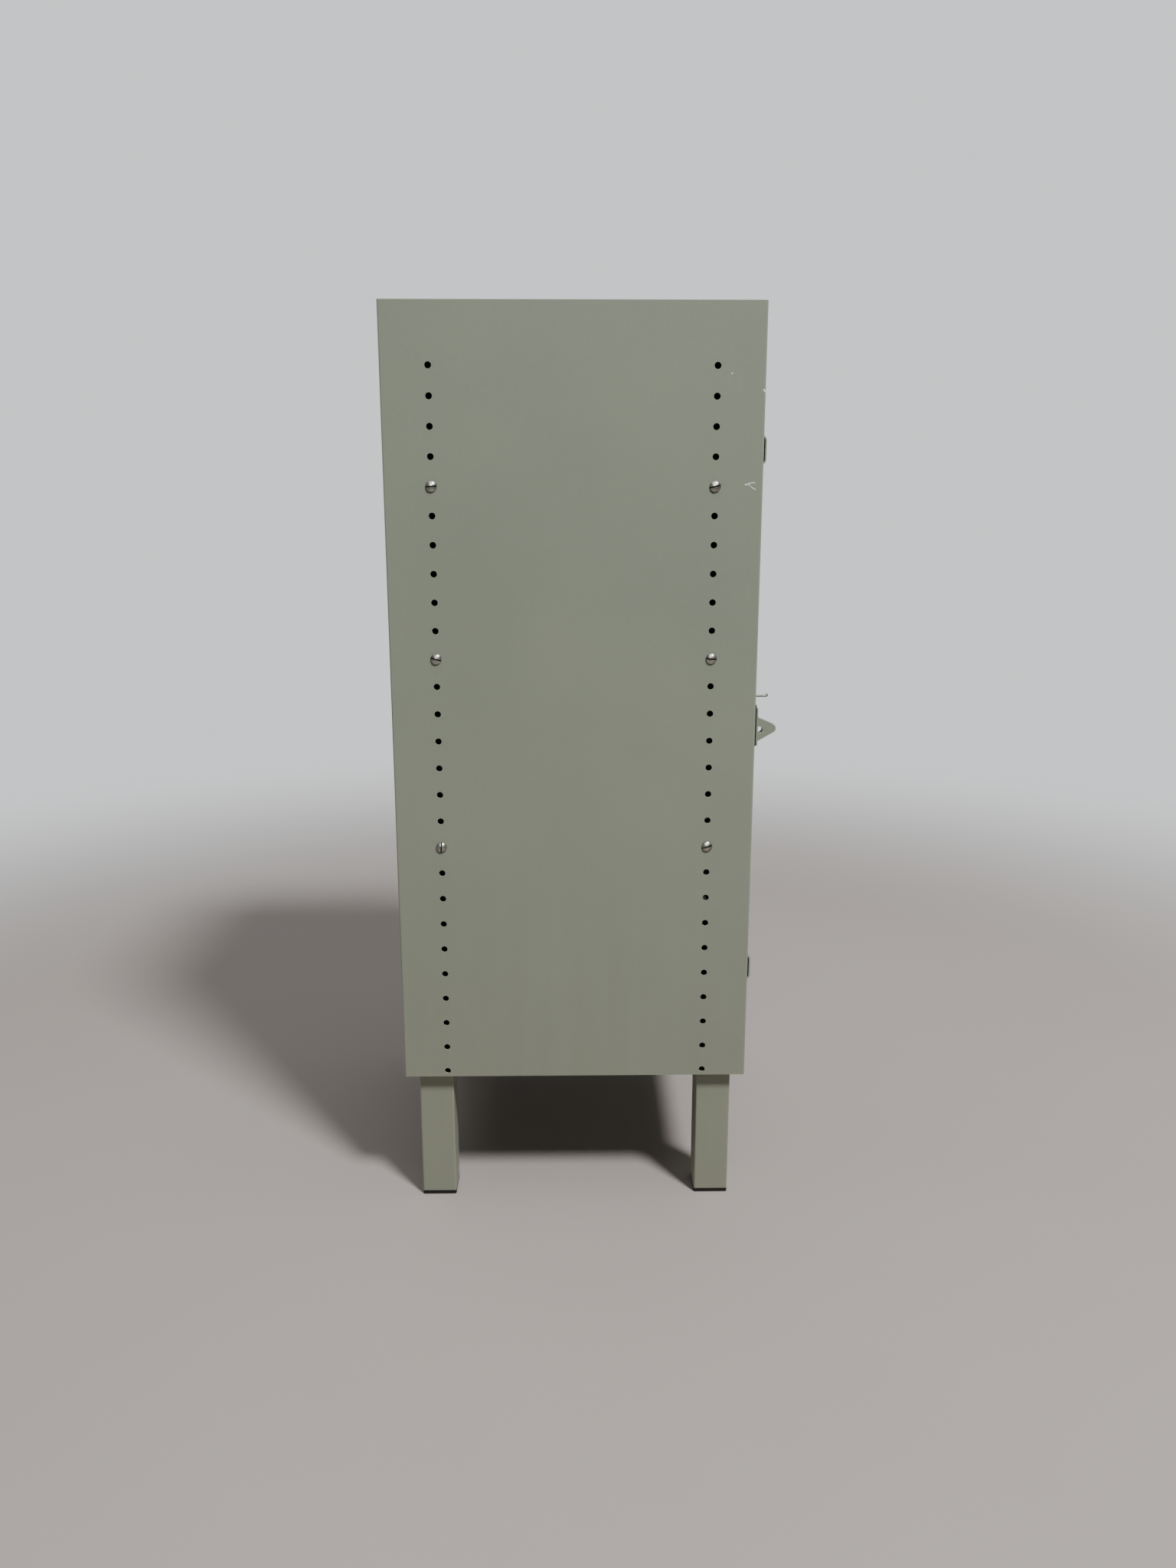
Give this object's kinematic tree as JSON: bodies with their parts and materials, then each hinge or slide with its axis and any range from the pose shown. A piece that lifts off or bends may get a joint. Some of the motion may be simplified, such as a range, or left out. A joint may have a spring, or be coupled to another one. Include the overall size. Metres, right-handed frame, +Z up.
{
  "type": "industrial cabinet",
  "caption": "Tall narrow sheet-steel cabinet on square-tube legs, with one vented hinged door, slide bolt, padlock ears and shelves screwed through rows of holes in its sides.",
  "frame": {"origin": "on the floor under the middle of the cabinet's overall box", "axes": "+X to the cabinet's right as seen from its front, -Y out of its front, +Z up"},
  "size_m": [0.4068, 0.4232, 1.01],
  "materials": {
    "grey_green_paint": "semi-matt grey-green stove enamel on folded sheet steel",
    "nickel_screw": "nickel-plated steel",
    "zinc_steel": "zinc-plated steel",
    "black_plastic": "matt black moulded plastic",
    "black_rubber": "black rubber"
  },
  "bodies": {
    "carcass": {"left_side_panel": "grey_green_paint", "right_side_panel": "grey_green_paint", "top_panel": "grey_green_paint", "floor_panel": "grey_green_paint", "back_panel": "grey_green_paint", "top_rail": "grey_green_paint", "bottom_rail": "grey_green_paint", "shelf_upper": "grey_green_paint", "shelf_middle": "grey_green_paint", "shelf_lower": "grey_green_paint", "shelf_upper_screws": "nickel_screw", "shelf_middle_screws": "nickel_screw", "shelf_lower_screws": "nickel_screw", "shelf_upper_nuts": "zinc_steel", "shelf_middle_nuts": "zinc_steel", "shelf_lower_nuts": "zinc_steel", "leg_front_left": "grey_green_paint", "leg_front_right": "grey_green_paint", "leg_rear_left": "grey_green_paint", "leg_rear_right": "grey_green_paint", "leg_plate_front_left": "grey_green_paint", "leg_plate_front_right": "grey_green_paint", "leg_plate_rear_left": "grey_green_paint", "leg_plate_rear_right": "grey_green_paint", "foot_cap_front_left": "black_plastic", "foot_cap_front_right": "black_plastic", "foot_cap_rear_left": "black_plastic", "foot_cap_rear_right": "black_plastic", "leg_bolts": "zinc_steel", "leg_nuts": "zinc_steel", "hinge_frame_leaf_upper": "grey_green_paint", "hinge_frame_leaf_lower": "grey_green_paint", "hinge_pin_upper": "zinc_steel", "hinge_pin_lower": "zinc_steel", "frame_padlock_ear": "grey_green_paint", "frame_ear_pad": "black_plastic", "frame_ear_rivets": "zinc_steel", "door_buffers": "black_rubber"},
    "door": {"door_panel": "grey_green_paint", "door_stiffener": "grey_green_paint", "hinge_door_leaf_upper": "grey_green_paint", "hinge_door_leaf_lower": "grey_green_paint", "door_padlock_ear": "grey_green_paint", "door_ear_pad": "black_plastic", "door_ear_rivets": "zinc_steel", "bolt_guides": "grey_green_paint"},
    "slide_bolt": {"slide_bolt": "grey_green_paint"}
  },
  "joints": [
    {"name": "door_hinge", "type": "hinge", "parent": "carcass", "child": "door", "pos_m": [0.168, -0.1889, 0.585], "axis": [0, 0, 1], "range_deg": [0, 170]},
    {"name": "bolt_slide", "type": "slide", "parent": "door", "child": "slide_bolt", "axis": [-1, 0, 0], "range_m": [0, 0.012]}
  ]
}
